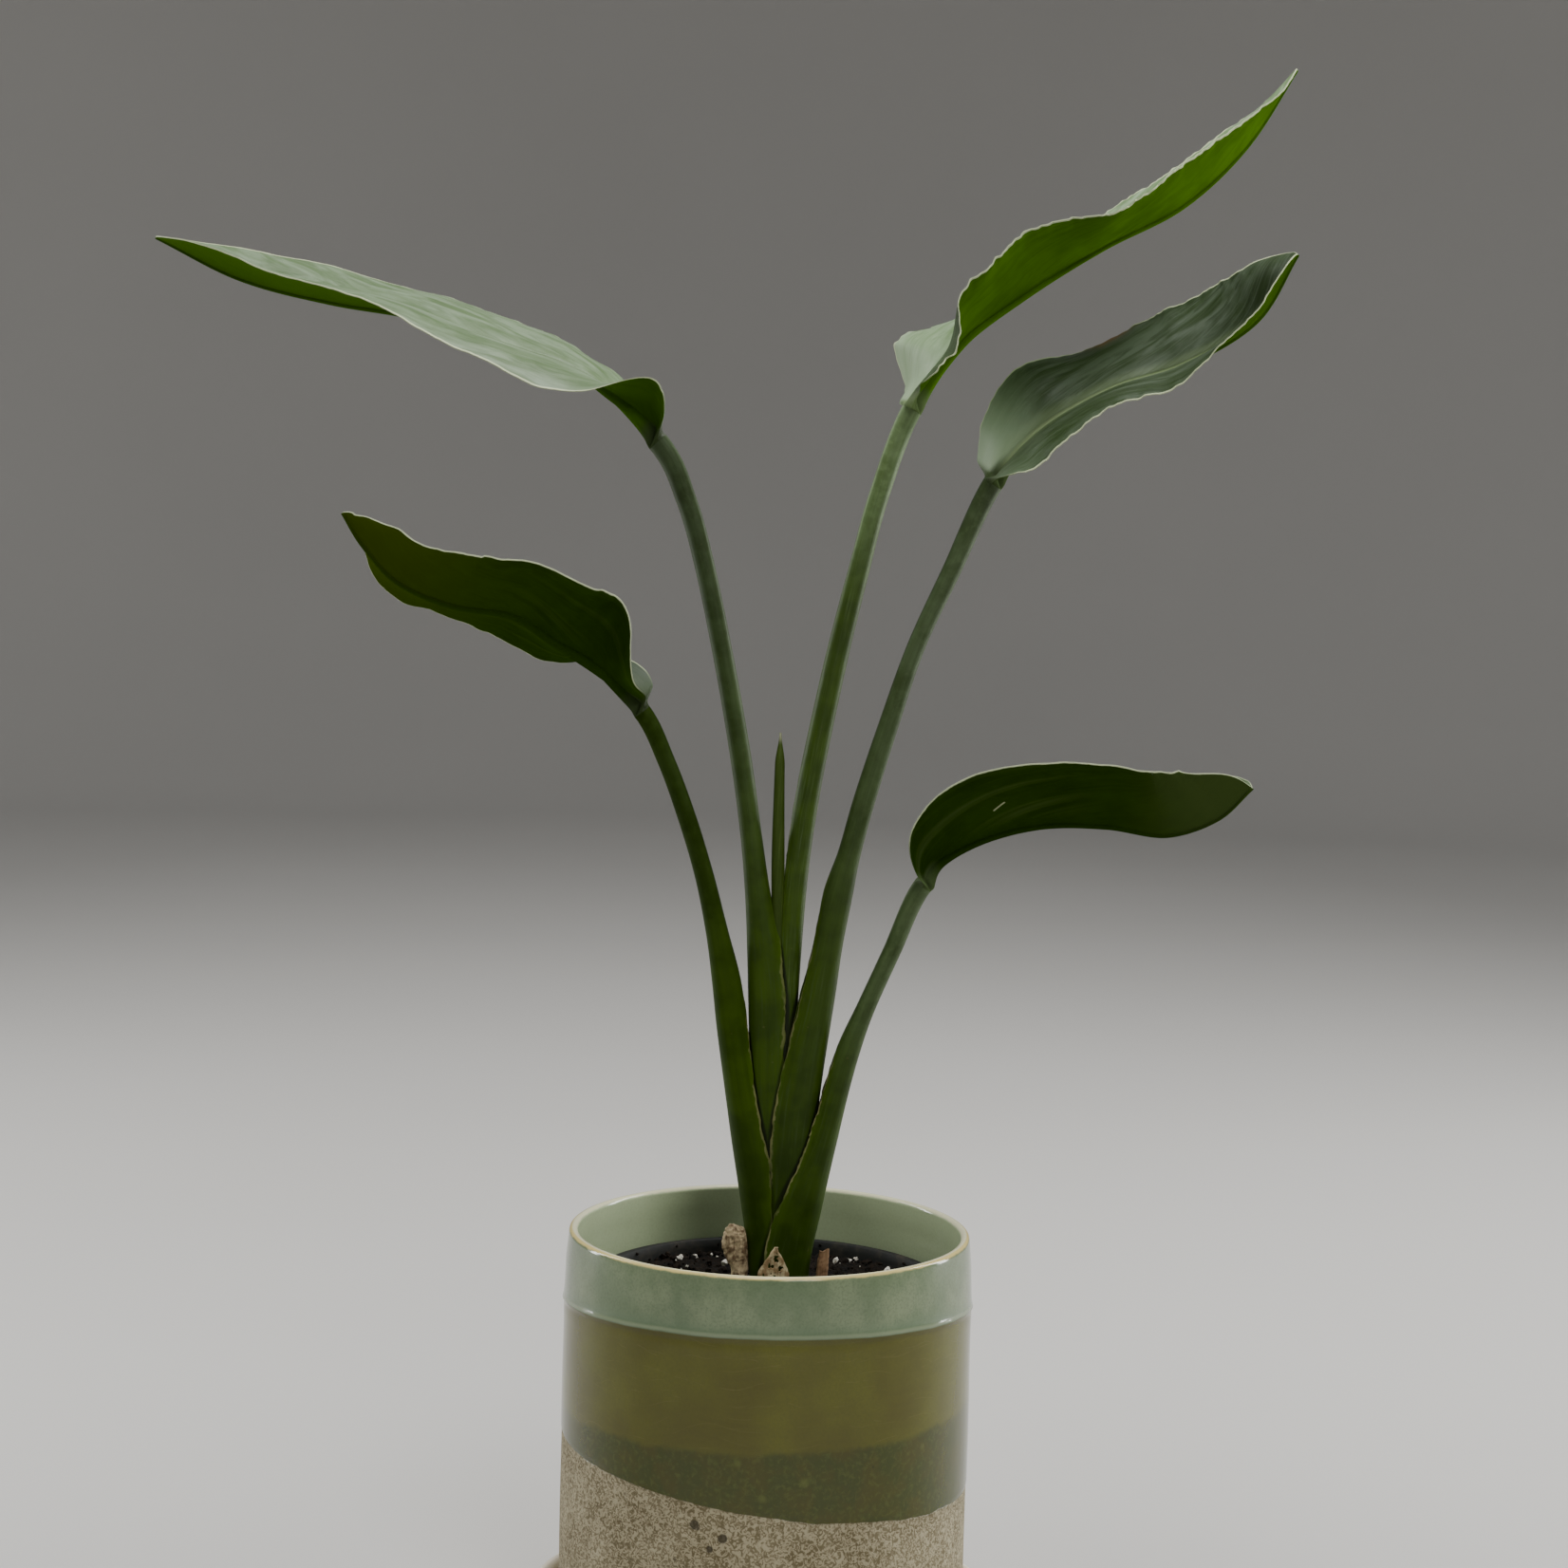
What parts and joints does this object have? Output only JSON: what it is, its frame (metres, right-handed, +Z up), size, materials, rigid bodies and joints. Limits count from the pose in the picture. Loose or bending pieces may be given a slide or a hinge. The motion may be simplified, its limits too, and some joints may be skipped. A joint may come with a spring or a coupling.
{
  "type": "potted bird of paradise plant",
  "caption": "Young bird of paradise plant with paddle leaves on long stalks, in a glazed cylindrical pot that stands on a saucer.",
  "frame": {"origin": "centre of the saucer's flat underside, on the pot's axis", "axes": "+Z up along the pot's axis, +X to the right in the plane that the leaves fan out in, -Y towards the plant's front"},
  "size_m": [0.431, 0.1766, 0.5997],
  "materials": {
    "saucer_stoneware": "pale speckled stoneware, satin",
    "pot_glaze": "banded reactive glaze in celadon, olive and dark green, glossy, over raw stoneware",
    "nursery_plastic": "thin dark grey plastic, satin",
    "potting_soil": "dark loose potting mix, matte",
    "leaf_stem": "glaucous green stalk, satin",
    "leaf_blade": "leathery green leaf, satin",
    "rolled_leaf": "pale green rolled leaf, satin",
    "dry_leaf": "dry brown leaf remains, matte",
    "perlite": "white perlite, matte"
  },
  "bodies": {
    "root": {"saucer": "saucer_stoneware", "ceramic_pot": "pot_glaze", "nursery_pot": "nursery_plastic", "soil": "potting_soil", "stem_low_right": "leaf_stem", "stem_left": "leaf_stem", "stem_right": "leaf_stem", "stem_top_left": "leaf_stem", "stem_top_right": "leaf_stem", "leaf_low_right": "leaf_blade", "leaf_left": "leaf_blade", "leaf_right": "leaf_blade", "leaf_top_left": "leaf_blade", "leaf_top_right": "leaf_blade", "young_leaf": "rolled_leaf", "dry_sheath": "dry_leaf", "dry_husk": "dry_leaf", "cut_stub": "dry_leaf", "perlite_1": "perlite", "perlite_2": "perlite", "perlite_3": "perlite", "perlite_4": "perlite", "perlite_5": "perlite", "perlite_6": "perlite", "perlite_7": "perlite", "perlite_8": "perlite", "perlite_9": "perlite", "perlite_10": "perlite", "perlite_11": "perlite"}
  },
  "joints": []
}
